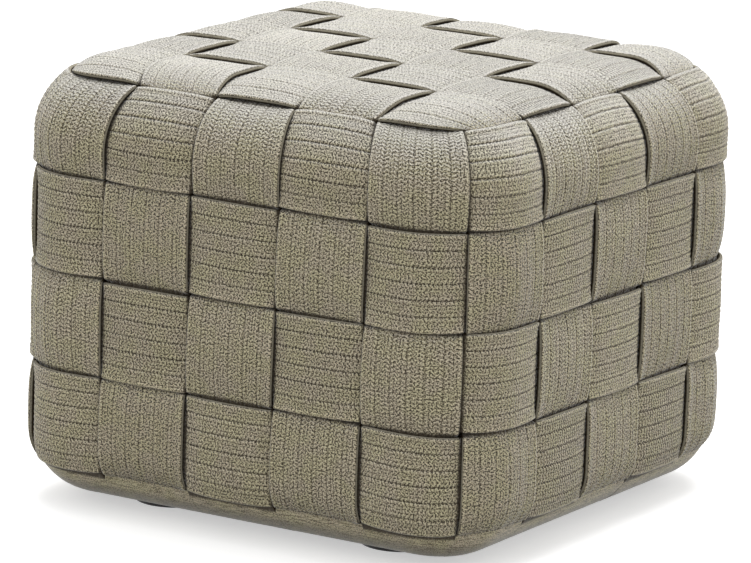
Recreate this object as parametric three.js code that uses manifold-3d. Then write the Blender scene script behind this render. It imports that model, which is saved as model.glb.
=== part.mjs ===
// A woven outdoor footstool: a soft, rounded cube of foam on a base board, covered by a
// plain basket weave of wide bands. Millimetres, +Z up, origin on the floor under the middle.
import * as THREE from "three";
import { mergeVertices } from "three/addons/utils/BufferGeometryUtils.js";
import Module from "manifold-3d";

// Overall size
const overallWidth = 480;
const overallHeight = 392;

// Shape of the woven body, measured on the middle of the weave
const planCornerRadius = 69;
const topEdgeRadius = 63;
const bottomEdgeRadius = 51;
const topCrown = 3;
const rimTilt = THREE.MathUtils.degToRad(55.5); // lean of the surface where the top's cells begin
const hemTilt = THREE.MathUtils.degToRad(26); // lean of the surface where the last row ends
const tightestCorner = 24; // plan radius left where the band ends turn in under the base
const tuckLength = 16; // flat length of a band end under the base board

// The weave
const columns = 5; // bands across one side
const rows = 4; // bands round the sides
const bandThickness = 5;
const crossingClearance = 0.5; // between two bands where they cross
const sideGap = 3.9; // between two bands side by side
const pillowHeight = 2.5; // how far each square of the weave swells
const edgePower = 4; // how late a band bends down where it dives under the next

// The inside
const innerClearance = 0.5;
const linerThickness = 1.5;
const boardThickness = 12;
const boardEdgeClearance = 1.5;
const boardShoulderTilt = THREE.MathUtils.degToRad(55);
const boardHeelTilt = THREE.MathUtils.degToRad(75);
const clothThickness = 1.2;
const clothOverlap = 10; // how far the base cloth reaches over the band ends
const seatClearance = 0.3;

// Glides and their screws
const glideRadius = 34;
const glideHeight = 5.2;
const glideChamfer = 1.2;
const glideSideInset = 125; // from the left or right side to the middle of a glide
const glideEndInset = 97; // from the front or back to the middle of a glide
const screwHeadRadius = 5;
const screwHeadHeight = 1.9;
const screwShankRadius = 2.2;
const screwReach = 11; // length of the screw inside the board
const screwPointLength = 3;
const screwRecess = 0.4; // the head sits this far inside the glide
const screwClearance = 0.3;
const socketRadius = 1.8;
const socketDepth = 1.2;
const socketFlats = 6;

// Where the facets of a band lie in each square, as shares of half the band from its middle.
// They stand closer where the surface is round.
const flatShares = [-1, 0, 1];
const cornerShares = [-1, -0.5, 0, 1];
const rimRowShares = [-1, -0.45, 0.1, 1];
const hemRowShares = [-1, 0.1, 0.55, 1];
const tailSteps = 4;
const roundSegments = 16;

const FULL_TURN = Math.PI * 2;
const QUARTER_TURN = Math.PI / 2;
const SIDES = 4;

// Heights that follow from the stack under the board, from the floor up
const clothBottom = glideHeight + seatClearance;
const bandUnderside = clothBottom + clothThickness + seatClearance;
const rebateBottom = bandUnderside + bandThickness + crossingClearance;
const boardTop = rebateBottom + boardThickness;
const foamBottom = boardTop + seatClearance;
const screwHoleRadius = screwShankRadius + screwClearance;

// How far the weave stands out from its middle surface, and the middle surface's own size
const halfStack = (bandThickness + crossingClearance) / 2;
const weaveReach = 2 * halfStack + bandThickness / 2;
const bodyHalf = overallWidth / 2 - weaveReach;
const bodyTop = overallHeight - weaveReach - topCrown;
const bodyBottom = bandUnderside + bandThickness / 2;
const topArcCentre = bodyTop - topEdgeRadius;
const bottomArcCentre = bodyBottom + bottomEdgeRadius;
const straightHalf = bodyHalf - planCornerRadius;
const rimInset = topEdgeRadius * (1 - Math.cos(rimTilt));

// Distances down the side from the rim of the top
const topArcLength = topEdgeRadius * rimTilt;
const sideEnd = topArcLength + topArcCentre - bottomArcCentre;
const bottomArcEnd = sideEnd + bottomEdgeRadius * QUARTER_TURN;
const weaveEnd = sideEnd + bottomEdgeRadius * hemTilt;
const rowPitch = weaveEnd / rows;
const columnPitch = (2 * straightHalf + planCornerRadius * QUARTER_TURN) / columns;

// Shares of half a pitch that a band covers, so that neighbours keep their side gap
const acrossShare = 1 - sideGap / columnPitch;
const rowShare = 1 - sideGap / rowPitch;

const columnSamples = Array.from({ length: columns }, () => flatShares);
columnSamples[0] = cornerShares;
columnSamples[columns - 1] = cornerShares.map((b) => -b).reverse();
const rowSamples = Array.from({ length: rows }, () => flatShares);
rowSamples[0] = rimRowShares;
rowSamples[rows - 1] = hemRowShares;
const columnPlaces = columnSamples.map((shares) => shares.map((b) => b * acrossShare));
const rowPlaces = rowSamples.map((shares) => shares.map((a) => a * rowShare));

// Place on the rounded square that is drawn in by inset. column counts round the four sides
// from the front left corner. On the top all columns narrow alike; below, only the corner ones.
function planPoint(column, inset, onTop) {
  const round = SIDES * columns;
  const turned = ((column % round) + round) % round;
  const side = Math.min(Math.floor(turned / columns), SIDES - 1);
  const fromMiddle = turned - side * columns - columns / 2;
  const radius = Math.max(planCornerRadius - inset, tightestCorner);
  let along = fromMiddle * columnPitch;
  if (onTop) {
    along = (fromMiddle / columns) * (2 * straightHalf + radius * QUARTER_TURN);
  } else if (Math.abs(along) > straightHalf) {
    const past = Math.abs(along) - straightHalf;
    along = Math.sign(along) * (straightHalf + (past * radius) / planCornerRadius);
  }
  const past = Math.max(Math.abs(along) - straightHalf, 0);
  const angle = (Math.sign(along) * past) / radius;
  const straight = Math.sign(along) * Math.min(Math.abs(along), straightHalf);
  const x = straight + radius * Math.sin(angle);
  const y = -straightHalf - radius * Math.cos(angle);
  const softInset = planCornerRadius - tightestCorner;
  const drawnIn = Math.max(inset - softInset, 0) / (bodyHalf - softInset);
  const point = new THREE.Vector2(x, y).multiplyScalar(1 - drawnIn);
  const outward = new THREE.Vector2(Math.sin(angle), -Math.cos(angle));
  const turn = side * QUARTER_TURN;
  const middle = new THREE.Vector2();
  return { point: point.rotateAround(middle, turn), outward: outward.rotateAround(middle, turn) };
}

// The side's outline from the rim down, round the bottom edge and in under the base
function profile(distance) {
  if (distance < topArcLength) {
    const tilt = rimTilt - distance / topEdgeRadius;
    return {
      inset: topEdgeRadius * (1 - Math.cos(tilt)),
      z: topArcCentre + topEdgeRadius * Math.sin(tilt),
      tilt,
    };
  }
  if (distance < sideEnd) {
    return { inset: 0, z: topArcCentre - (distance - topArcLength), tilt: 0 };
  }
  if (distance < bottomArcEnd) {
    const tilt = (distance - sideEnd) / bottomEdgeRadius;
    return {
      inset: bottomEdgeRadius * (1 - Math.cos(tilt)),
      z: bottomArcCentre - bottomEdgeRadius * Math.sin(tilt),
      tilt: -tilt,
    };
  }
  return { inset: bottomEdgeRadius + distance - bottomArcEnd, z: bodyBottom, tilt: -QUARTER_TURN };
}

// A point of the weave's middle surface on the sides, with its outward direction
function sidePoint(column, distance) {
  const { inset, z, tilt } = profile(distance);
  const { point, outward } = planPoint(column, inset, z > (bodyTop + bodyBottom) / 2);
  const level = Math.cos(tilt);
  return {
    point: new THREE.Vector3(point.x, point.y, z),
    normal: new THREE.Vector3(outward.x * level, outward.y * level, Math.sin(tilt)),
  };
}

// Height of the top's middle surface: the rim's arc goes on inwards to a shallow crown
function topHeight(x, y) {
  const core = straightHalf;
  const outX = Math.abs(x) - core;
  const outY = Math.abs(y) - core;
  const fromCore = Math.hypot(Math.max(outX, 0), Math.max(outY, 0)) + Math.min(Math.max(outX, outY), 0);
  const fromApex = Math.max(fromCore - planCornerRadius + topEdgeRadius, 0);
  const rimHalf = bodyHalf - rimInset;
  const crown = topCrown * (1 - (x / rimHalf) ** 2) * (1 - (y / rimHalf) ** 2);
  return topArcCentre + Math.sqrt(topEdgeRadius ** 2 - fromApex ** 2) + crown;
}

// A point of the top's middle surface, blended between the four sides of its rim
function topPoint(s, t) {
  const rim = (column) => planPoint(column, rimInset, true).point;
  const u = s / columns;
  const v = t / columns;
  const front = rim(s);
  const right = rim(columns + t);
  const back = rim(3 * columns - s);
  const left = rim(4 * columns - t);
  const corners = [rim(0), rim(columns), rim(2 * columns), rim(3 * columns)];
  const blend = (axis) => {
    const ruled = (1 - v) * front[axis] + v * back[axis] + (1 - u) * left[axis] + u * right[axis];
    const frontPart = (1 - v) * ((1 - u) * corners[0][axis] + u * corners[1][axis]);
    const backPart = v * (u * corners[2][axis] + (1 - u) * corners[3][axis]);
    return ruled - frontPart - backPart;
  };
  const x = blend("x");
  const y = blend("y");
  const step = sideGap / 4;
  const slopeX = (topHeight(x + step, y) - topHeight(x - step, y)) / (2 * step);
  const slopeY = (topHeight(x, y + step) - topHeight(x, y - step)) / (2 * step);
  return {
    point: new THREE.Vector3(x, y, topHeight(x, y)),
    normal: new THREE.Vector3(-slopeX, -slopeY, 1).normalize(),
  };
}

// How far a band lies from the middle surface at a place in a square, over (1) or under (-1)
function weaveOffset(over, across, along) {
  const pillow = pillowHeight * (1 - across ** 2) * (1 - along ** 2);
  const rise = Math.abs(across) ** edgePower - Math.abs(along) ** edgePower;
  return pillow + over * halfStack * (1 + rise);
}

// Over or under for an upright band at a column and row of the sides, and for a lengthwise
// band at a square of the top. The bands that cross them there have the other sign.
const uprightOver = (column, row) => ((column + row) % 2 === 0 ? 1 : -1);
const lengthwiseOver = (i, j) => ((i + j) % 2 === 1 ? 1 : -1);

// A place on the sides or the top that remembers its own two grid coordinates
function sidePlace(column, distance, offset) {
  return { ...sidePoint(column, distance), offset, grid: [column, distance] };
}

function topPlace(s, t, offset) {
  return { ...topPoint(s, t), offset, grid: [s, t] };
}

// Stations of one upright stretch, from the tucked end up to the rim. columnOf gives the column
// of a place across the band, and cell is the number of the column that the band runs in.
function uprightStations(samples, columnOf, cell) {
  const stations = [];
  const tailStart = weaveEnd + sideGap / 2;
  const arcStep = (bottomArcEnd - tailStart) / tailSteps;
  const tail = [bottomArcEnd + tuckLength];
  for (let step = tailSteps; step >= 0; step -= 1) {
    tail.push(tailStart + step * arcStep);
  }
  for (const distance of tail) {
    stations.push(samples.map((b) => sidePlace(columnOf(b), distance, 0)));
  }
  for (let row = rows - 1; row >= 0; row -= 1) {
    const over = uprightOver(cell, row);
    for (const a of [...rowPlaces[row]].reverse()) {
      const distance = (row + (a + 1) / 2) * rowPitch;
      stations.push(
        samples.map((b) => sidePlace(columnOf(b), distance, weaveOffset(over, b, a))),
      );
    }
  }
  return stations;
}

// A band over the top: lengthwise from front to back, or crosswise from left to right
function topBandStations(index, crosswise) {
  const samples = columnPlaces[index];
  const place = (b) => index + (b + 1) / 2;
  const startColumn = (b) => (crosswise ? 4 * columns - place(b) : place(b));
  const endColumn = (b) => (crosswise ? columns + place(b) : 3 * columns - place(b));
  const startCell = crosswise ? 4 * columns - 1 - index : index;
  const endCell = crosswise ? columns + index : 3 * columns - 1 - index;
  const stations = uprightStations(samples, startColumn, startCell);
  for (let cell = 0; cell < columns; cell += 1) {
    const over = lengthwiseOver(index, cell) * (crosswise ? -1 : 1);
    for (const a of columnPlaces[cell]) {
      const along = cell + (a + 1) / 2;
      stations.push(
        samples.map((b) => {
          const offset = weaveOffset(over, b, a);
          return crosswise ? topPlace(along, place(b), offset) : topPlace(place(b), along, offset);
        }),
      );
    }
  }
  return stations.concat(uprightStations(samples, endColumn, endCell).reverse());
}

// A band round the four sides
function ringBandStations(row) {
  const stations = [];
  for (let column = 0; column < SIDES * columns; column += 1) {
    const over = -uprightOver(column, row);
    for (const a of columnPlaces[column % columns]) {
      stations.push(
        rowPlaces[row].map((b) => {
          const distance = (row + (b + 1) / 2) * rowPitch;
          return sidePlace(column + (a + 1) / 2, distance, weaveOffset(over, b, a));
        }),
      );
    }
  }
  return stations;
}

// Two triangles for a four-sided face. The diagonal is chosen by the places' own grid, so two
// bands that cross share it, and their facing sides stay parallel.
function splitQuad(corners, grids) {
  const [a, b, c, d] = corners;
  const rising = (grids[0][0] - grids[2][0]) * (grids[0][1] - grids[2][1]) > 0;
  return rising ? [a, b, c, a, c, d] : [a, b, d, b, c, d];
}

// A strip of even thickness through its stations, closed at its ends or joined into a ring
function bandGeometry(stations, isRing) {
  const across = stations[0].length;
  const ringSize = 2 * across;
  const positions = [];
  const grids = [];
  for (const station of stations) {
    const outer = station.map((place) => ({ place, lift: bandThickness / 2 }));
    const inner = [...station].reverse().map((place) => ({ place, lift: -bandThickness / 2 }));
    for (const { place, lift } of [...outer, ...inner]) {
      const { point, normal, offset, grid } = place;
      positions.push(...point.clone().addScaledVector(normal, offset + lift).toArray());
      grids.push(grid);
    }
  }
  const faces = [];
  const count = stations.length;
  const vertex = (station, corner) => (station % count) * ringSize + (corner % ringSize);
  for (let s = 0; s < (isRing ? count : count - 1); s += 1) {
    for (let corner = 0; corner < ringSize; corner += 1) {
      const quad = [
        vertex(s, corner),
        vertex(s, corner + 1),
        vertex(s + 1, corner + 1),
        vertex(s + 1, corner),
      ];
      faces.push(...splitQuad(quad, quad.map((i) => grids[i])));
    }
  }
  if (!isRing) {
    const end = (count - 1) * ringSize;
    for (let corner = 0; corner < across - 1; corner += 1) {
      const mate = ringSize - 1 - corner;
      faces.push(corner, mate, corner + 1, corner + 1, mate, mate - 1);
      faces.push(end + corner, end + corner + 1, end + mate);
      faces.push(end + corner + 1, end + mate - 1, end + mate);
    }
  }
  return closedGeometry(positions, faces);
}

// An indexed geometry whose faces point out
function closedGeometry(positions, faces) {
  const geometry = new THREE.BufferGeometry();
  geometry.setAttribute("position", new THREE.Float32BufferAttribute(positions, 3));
  geometry.setIndex(faces);
  if (signedVolume(geometry) < 0) {
    geometry.setIndex(reversed(faces));
  }
  geometry.computeVertexNormals();
  return geometry;
}

function reversed(faces) {
  const turned = [];
  for (let i = 0; i < faces.length; i += 3) {
    turned.push(faces[i], faces[i + 2], faces[i + 1]);
  }
  return turned;
}

function signedVolume(geometry) {
  const position = geometry.getAttribute("position");
  const index = geometry.getIndex();
  const [a, b, c] = [new THREE.Vector3(), new THREE.Vector3(), new THREE.Vector3()];
  let sum = 0;
  for (let i = 0; i < index.count; i += 3) {
    a.fromBufferAttribute(position, index.getX(i));
    b.fromBufferAttribute(position, index.getX(i + 1));
    c.fromBufferAttribute(position, index.getX(i + 2));
    sum += a.dot(b.cross(c));
  }
  return sum / 6;
}

// Places along one side for the smooth pieces inside: all of the corner's stations and the
// middle of each flat column, so that their facets lie inside those of the bands
const skinStations = columnPlaces.flatMap((places, i) => {
  const used = places.filter((b) => (i === 0 && b <= 0) || (i === columns - 1 && b >= 0) || b === 0);
  return used.map((b) => i + (b + 1) / 2);
});
const skinColumns = Array.from({ length: SIDES }, (_, side) => side).flatMap((side) => {
  return skinStations.map((station) => side * columns + station);
});

// Levels of a smooth skin that lies depth inside the weave and ends at the foam's bottom
function skinLevels(depth) {
  const levels = rowPlaces.flatMap((places, row) => {
    const last = row === rows - 1;
    const used = places.filter((a, i) => (row === 0 ? i < places.length - 1 : last ? i > 0 : a === 0));
    return used.map((a) => (row + (a + 1) / 2) * rowPitch);
  });
  const endTilt = Math.asin((bottomArcCentre - foamBottom) / (bottomEdgeRadius - depth));
  return [...levels, sideEnd + bottomEdgeRadius * endTilt];
}

// Points of a skin: level by level round the sides, then the grid of the top
function skinPositions(depth) {
  const inside = ({ point, normal }) => point.clone().addScaledVector(normal, -depth).toArray();
  const sides = skinLevels(depth).flatMap((distance) => {
    return skinColumns.flatMap((column) => inside(sidePoint(column, distance)));
  });
  const top = skinStations.flatMap((t) => skinStations.flatMap((s) => inside(topPoint(s, t))));
  return [...sides, ...top];
}

// Faces of a skin, without its bottom
function skinFaces(levelCount) {
  const round = skinColumns.length;
  const line = skinStations.length;
  const sideVertex = (level, column) => level * round + (column % round);
  const topVertex = (i, j) => levelCount * round + j * line + i;
  const last = line - 1;
  const rimVertex = [
    (k) => topVertex(k, 0),
    (k) => topVertex(last, k),
    (k) => topVertex(last - k, last),
    (k) => topVertex(0, last - k),
  ];
  const faces = [];
  const quad = (a, b, c, d) => faces.push(a, b, c, a, c, d);
  for (let level = 0; level < levelCount - 1; level += 1) {
    for (let column = 0; column < round; column += 1) {
      quad(
        sideVertex(level, column),
        sideVertex(level + 1, column),
        sideVertex(level + 1, column + 1),
        sideVertex(level, column + 1),
      );
    }
  }
  for (let side = 0; side < SIDES; side += 1) {
    const first = side * line;
    for (let k = 0; k < last; k += 1) {
      const [upper, next] = [rimVertex[side](k), rimVertex[side](k + 1)];
      quad(upper, sideVertex(0, first + k), sideVertex(0, first + k + 1), next);
    }
    faces.push(rimVertex[side](last), sideVertex(0, first + last), sideVertex(0, first + line));
  }
  for (let j = 0; j < last; j += 1) {
    for (let i = 0; i < last; i += 1) {
      quad(topVertex(i, j), topVertex(i + 1, j), topVertex(i + 1, j + 1), topVertex(i, j + 1));
    }
  }
  return faces;
}

function foamGeometry(depth) {
  const positions = skinPositions(depth);
  const levelCount = skinLevels(depth).length;
  const faces = skinFaces(levelCount);
  const round = skinColumns.length;
  const lowest = (levelCount - 1) * round;
  const middle = positions.length / 3;
  positions.push(0, 0, foamBottom);
  for (let column = 0; column < round; column += 1) {
    faces.push(middle, lowest + ((column + 1) % round), lowest + column);
  }
  return closedGeometry(positions, faces);
}

// A bag of even thickness, open where it stands on the board
function linerGeometry(depth) {
  const outer = skinPositions(depth);
  const inner = skinPositions(depth + linerThickness);
  const levelCount = skinLevels(depth).length;
  const outerFaces = skinFaces(levelCount);
  const shift = outer.length / 3;
  const innerFaces = reversed(outerFaces).map((i) => i + shift);
  const round = skinColumns.length;
  const lowest = (levelCount - 1) * round;
  const rim = [];
  for (let column = 0; column < round; column += 1) {
    const a = lowest + column;
    const b = lowest + ((column + 1) % round);
    rim.push(a, a + shift, b + shift, a, b + shift, b);
  }
  return closedGeometry([...outer, ...inner], [...outerFaces, ...innerFaces, ...rim]);
}

// A solid stacked from outlines of the rounded square, each with its inset and height
function stackedGeometry(outlines) {
  const round = skinColumns.length;
  const positions = outlines.flatMap(({ inset, z }) => {
    return skinColumns.flatMap((column) => [...planPoint(column, inset, false).point.toArray(), z]);
  });
  const faces = [];
  for (let level = 0; level < outlines.length - 1; level += 1) {
    for (let column = 0; column < round; column += 1) {
      const [a, b] = [level * round + column, level * round + ((column + 1) % round)];
      faces.push(a, a + round, b + round, a, b + round, b);
    }
  }
  const top = positions.length / 3;
  positions.push(0, 0, outlines[0].z, 0, 0, outlines[outlines.length - 1].z);
  const lowest = (outlines.length - 1) * round;
  for (let column = 0; column < round; column += 1) {
    const next = (column + 1) % round;
    faces.push(top, column, next, top + 1, lowest + next, lowest + column);
  }
  return closedGeometry(positions, faces);
}

const wasm = await Module();
wasm.setup();

function toSolid(geometry) {
  const bare = geometry.clone();
  bare.deleteAttribute("normal");
  bare.deleteAttribute("uv");
  const merged = mergeVertices(bare);
  const vertProperties = new Float32Array(merged.getAttribute("position").array);
  const triVerts = new Uint32Array(merged.getIndex().array);
  return new wasm.Manifold(new wasm.Mesh({ numProp: 3, vertProperties, triVerts }));
}

function cut(geometry, cutters) {
  let solid = toSolid(geometry);
  for (const cutter of cutters) {
    solid = solid.subtract(toSolid(cutter));
  }
  const mesh = solid.getMesh();
  return closedGeometry([...mesh.vertProperties], [...mesh.triVerts]);
}

// An upright round or many-sided plug between two heights
function uprightPlug(radius, low, high, x, y, segments) {
  const plug = new THREE.CylinderGeometry(radius, radius, high - low, segments);
  plug.rotateX(QUARTER_TURN);
  return plug.translate(x, y, (low + high) / 2);
}

function upright(profile) {
  const points = profile.map(([r, z]) => new THREE.Vector2(r, z));
  return new THREE.LatheGeometry(points, roundSegments).rotateX(QUARTER_TURN);
}

const glideAcross = overallWidth / 2 - glideSideInset;
const glideAlong = overallWidth / 2 - glideEndInset;
const corners = [
  { name: "front_left", x: -glideAcross, y: -glideAlong },
  { name: "front_right", x: glideAcross, y: -glideAlong },
  { name: "back_left", x: -glideAcross, y: glideAlong },
  { name: "back_right", x: glideAcross, y: glideAlong },
];

// The board: its lower edge follows the inside of the band ends, and a raised boss fills the
// space between them, so the glide screws bite into full thickness
function boardGeometry() {
  const arc = bottomEdgeRadius - bandThickness / 2 - boardEdgeClearance;
  const arcPoint = (tilt) => ({
    inset: bottomEdgeRadius - arc * Math.cos(tilt),
    z: bottomArcCentre - arc * Math.sin(tilt),
  });
  const shoulder = arcPoint(boardShoulderTilt);
  const bossInset = bottomEdgeRadius + tuckLength + boardEdgeClearance;
  const board = stackedGeometry([
    { inset: shoulder.inset, z: boardTop },
    shoulder,
    arcPoint(boardHeelTilt),
    { inset: bottomEdgeRadius, z: rebateBottom },
    { inset: bossInset, z: rebateBottom },
    { inset: bossInset, z: bandUnderside },
  ]);
  const holeTop = bandUnderside + screwReach + screwClearance;
  const holes = corners.map(({ x, y }) => {
    return uprightPlug(screwHoleRadius, clothBottom, holeTop, x, y, roundSegments);
  });
  return cut(board, holes);
}

// The cloth under the board, with a hole for each glide screw
function clothGeometry() {
  const inset = bottomEdgeRadius + tuckLength - clothOverlap;
  const outline = skinColumns.map((column) => planPoint(column, inset, false).point);
  const shape = new THREE.Shape(outline);
  for (const { x, y } of corners) {
    shape.holes.push(new THREE.Path().absarc(x, y, screwHoleRadius, 0, FULL_TURN));
  }
  const options = { depth: clothThickness, bevelEnabled: false, curveSegments: roundSegments };
  return new THREE.ExtrudeGeometry(shape, options).translate(0, 0, clothBottom);
}

// Height of the glide's inner step, where the screw's head pulls it up
const headTop = screwRecess + screwHeadHeight;
const glideStep = headTop + screwClearance;

function glideGeometry() {
  const recessRadius = screwHeadRadius + screwClearance;
  return upright([
    [screwHoleRadius, glideHeight],
    [screwHoleRadius, glideStep],
    [recessRadius, glideStep],
    [recessRadius, 0],
    [glideRadius - glideChamfer, 0],
    [glideRadius, glideChamfer],
    [glideRadius, glideHeight],
    [screwHoleRadius, glideHeight],
  ]);
}

function screwGeometry() {
  const tip = bandUnderside + screwReach;
  const body = upright([
    [0, screwRecess],
    [screwHeadRadius, screwRecess],
    [screwHeadRadius, headTop],
    [screwShankRadius, headTop],
    [screwShankRadius, tip - screwPointLength],
    [0, tip],
  ]);
  const socket = uprightPlug(socketRadius, 0, screwRecess + socketDepth, 0, 0, socketFlats);
  return cut(body, [socket]);
}

const bandMaterial = { color: 0x8f8873, roughness: 0.95, metalness: 0 };
const foamMaterial = { color: 0xd8d6cc, roughness: 1, metalness: 0 };
const linerMaterial = { color: 0x5f574b, roughness: 0.95, metalness: 0 };
const boardMaterial = { color: 0x4a4a48, roughness: 0.8, metalness: 0 };
const clothMaterial = { color: 0x1c1c1c, roughness: 0.95, metalness: 0 };
const glideMaterial = { color: 0x141414, roughness: 0.55, metalness: 0 };
const screwMaterial = { color: 0xb8babd, roughness: 0.35, metalness: 0.9 };

const group = new THREE.Group();

function addPiece(name, geometry, look) {
  const mesh = new THREE.Mesh(geometry, new THREE.MeshStandardMaterial(look));
  mesh.name = name;
  group.add(mesh);
  return mesh;
}

for (let index = 0; index < columns; index += 1) {
  const lengthwise = bandGeometry(topBandStations(index, false), false);
  addPiece(`lengthwise_band_${index + 1}`, lengthwise, bandMaterial);
}
for (let index = 0; index < columns; index += 1) {
  const crosswise = bandGeometry(topBandStations(index, true), false);
  addPiece(`crosswise_band_${index + 1}`, crosswise, bandMaterial);
}
for (let row = 0; row < rows; row += 1) {
  addPiece(`ring_band_${row + 1}`, bandGeometry(ringBandStations(row), true), bandMaterial);
}

const linerDepth = weaveReach + innerClearance;
const foamDepth = linerDepth + linerThickness + innerClearance;
addPiece("liner", linerGeometry(linerDepth), linerMaterial);
addPiece("foam_core", foamGeometry(foamDepth), foamMaterial);
addPiece("base_board", boardGeometry(), boardMaterial);
addPiece("base_cloth", clothGeometry(), clothMaterial);
for (const { name, x, y } of corners) {
  addPiece(`glide_${name}`, glideGeometry(), glideMaterial).position.set(x, y, 0);
  addPiece(`glide_screw_${name}`, screwGeometry(), screwMaterial).position.set(x, y, 0);
}

export default group;
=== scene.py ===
import math

import bpy
import numpy as np
from mathutils import Matrix, Vector


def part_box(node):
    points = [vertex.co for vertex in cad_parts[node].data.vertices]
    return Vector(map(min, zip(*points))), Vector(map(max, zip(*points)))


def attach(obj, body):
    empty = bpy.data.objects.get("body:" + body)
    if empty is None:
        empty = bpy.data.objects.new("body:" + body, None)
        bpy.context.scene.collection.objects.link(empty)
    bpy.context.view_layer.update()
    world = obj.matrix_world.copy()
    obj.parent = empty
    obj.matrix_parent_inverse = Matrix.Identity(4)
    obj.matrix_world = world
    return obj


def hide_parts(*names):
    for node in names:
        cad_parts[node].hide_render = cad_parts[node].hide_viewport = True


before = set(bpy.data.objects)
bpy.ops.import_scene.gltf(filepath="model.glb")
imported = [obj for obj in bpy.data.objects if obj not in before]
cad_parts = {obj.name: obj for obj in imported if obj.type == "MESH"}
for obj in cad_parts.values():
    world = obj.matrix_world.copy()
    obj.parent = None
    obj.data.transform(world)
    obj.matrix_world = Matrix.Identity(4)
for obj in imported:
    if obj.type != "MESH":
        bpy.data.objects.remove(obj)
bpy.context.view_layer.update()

bl_info = {
    "name": "Woven Footstool",
    "version": (1, 0, 0),
    "blender": (4, 5, 0),
    "location": "3D View > Sidebar > Footstool",
    "description": (
        "Dresses the packed footstool: braided bands, foam, liner, base, glides and stage"
    ),
    "category": "Object",
}

MM = 0.001
WALES = 4  # columns of strands in one cord, the two inner ones narrower
CORD_LINE = 0.3  # share of a cord's width where an outer column meets an inner one
CROWDING = (CORD_LINE - 1 / WALES) / math.sin(2 * math.pi * CORD_LINE)
FACE_LEVEL = 7 * MM  # how far a band's face lies outside the middle of the weave

# The woven body's own measures, the same as the solids'
HALF_WIDTH = 232 * MM
BODY_TOP = 381 * MM
BODY_BOTTOM = 9.5 * MM
PLAN_RADIUS = 69 * MM
TOP_RADIUS = 63 * MM
BOTTOM_RADIUS = 51 * MM
CROWN = 3 * MM
RIM_TILT = math.radians(55.5)
HEM_TILT = math.radians(26)
TIGHTEST = 24 * MM
TUCK = 16 * MM
COLUMNS = 5
ROWS = 4
SIDES = 4
RING_CELLS = SIDES * COLUMNS  # squares once round the body
RIGHT_START, BACK_START, LEFT_START = COLUMNS, 2 * COLUMNS, 3 * COLUMNS
HALF_STACK = 2.75 * MM
WEAVE_REACH = 8 * MM
EDGE_POWER = 4
SIDE_GAP = 2.4 * MM

TOP_CENTRE = BODY_TOP - TOP_RADIUS
BOTTOM_CENTRE = BODY_BOTTOM + BOTTOM_RADIUS
STRAIGHT = HALF_WIDTH - PLAN_RADIUS
RIM_INSET = TOP_RADIUS * (1 - math.cos(RIM_TILT))
TOP_ARC_END = TOP_RADIUS * RIM_TILT
SIDE_END = TOP_ARC_END + TOP_CENTRE - BOTTOM_CENTRE
BOTTOM_ARC_END = SIDE_END + BOTTOM_RADIUS * math.pi / 2
WEAVE_END = SIDE_END + BOTTOM_RADIUS * HEM_TILT
ROW_PITCH = WEAVE_END / ROWS
COLUMN_PITCH = (2 * STRAIGHT + PLAN_RADIUS * math.pi / 2) / COLUMNS
SHARE = 1 - SIDE_GAP / COLUMN_PITCH
SIDE_RUN = BOTTOM_ARC_END + TUCK
TOP_RUN = 2 * (HALF_WIDTH - RIM_INSET)


def rise(value, start, length):
    """0 up to start, 1 from start plus length on, and even in between."""
    return np.clip((value - start) / length, 0, 1)


# The middle surface of the weave

def plan_place(column, inset, on_top):
    """Place and outward direction on the rounded square drawn in by inset."""
    column = np.asarray(column, float) % RING_CELLS
    column, inset, on_top = np.broadcast_arrays(column, inset, on_top)
    side = np.minimum(column // COLUMNS, SIDES - 1)
    from_middle = column - side * COLUMNS - COLUMNS / 2
    radius = np.maximum(PLAN_RADIUS - inset, TIGHTEST)
    along = from_middle * COLUMN_PITCH
    beyond = np.maximum(np.abs(along) - STRAIGHT, 0)
    low = np.where(beyond > 0, np.sign(along) * (STRAIGHT + beyond * radius / PLAN_RADIUS), along)
    high = from_middle / COLUMNS * (2 * STRAIGHT + radius * math.pi / 2)
    along = np.where(on_top, high, low)
    angle = np.sign(along) * np.maximum(np.abs(along) - STRAIGHT, 0) / radius
    x = np.clip(along, -STRAIGHT, STRAIGHT) + radius * np.sin(angle)
    y = -STRAIGHT - radius * np.cos(angle)
    soft = PLAN_RADIUS - TIGHTEST
    kept = 1 - np.maximum(inset - soft, 0) / (HALF_WIDTH - soft)
    x, y = x * kept, y * kept
    cos, sin = np.cos(side * math.pi / 2), np.sin(side * math.pi / 2)
    out_x, out_y = np.sin(angle), -np.cos(angle)
    place = x * cos - y * sin, x * sin + y * cos
    return *place, out_x * cos - out_y * sin, out_x * sin + out_y * cos


def outline_place(distance):
    """Inset, height and lean of the side at a distance down from the rim."""
    upper = RIM_TILT - distance / TOP_RADIUS
    lower = (distance - SIDE_END) / BOTTOM_RADIUS
    parts = [distance < TOP_ARC_END, distance < SIDE_END, distance < BOTTOM_ARC_END]
    inset = np.select(
        parts,
        [TOP_RADIUS * (1 - np.cos(upper)), 0 * distance, BOTTOM_RADIUS * (1 - np.cos(lower))],
        BOTTOM_RADIUS + distance - BOTTOM_ARC_END,
    )
    height = np.select(
        parts,
        [
            TOP_CENTRE + TOP_RADIUS * np.sin(upper),
            TOP_CENTRE - (distance - TOP_ARC_END),
            BOTTOM_CENTRE - BOTTOM_RADIUS * np.sin(lower),
        ],
        BODY_BOTTOM,
    )
    return inset, height, np.select(parts, [upper, 0 * distance, -lower], -math.pi / 2)


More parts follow.
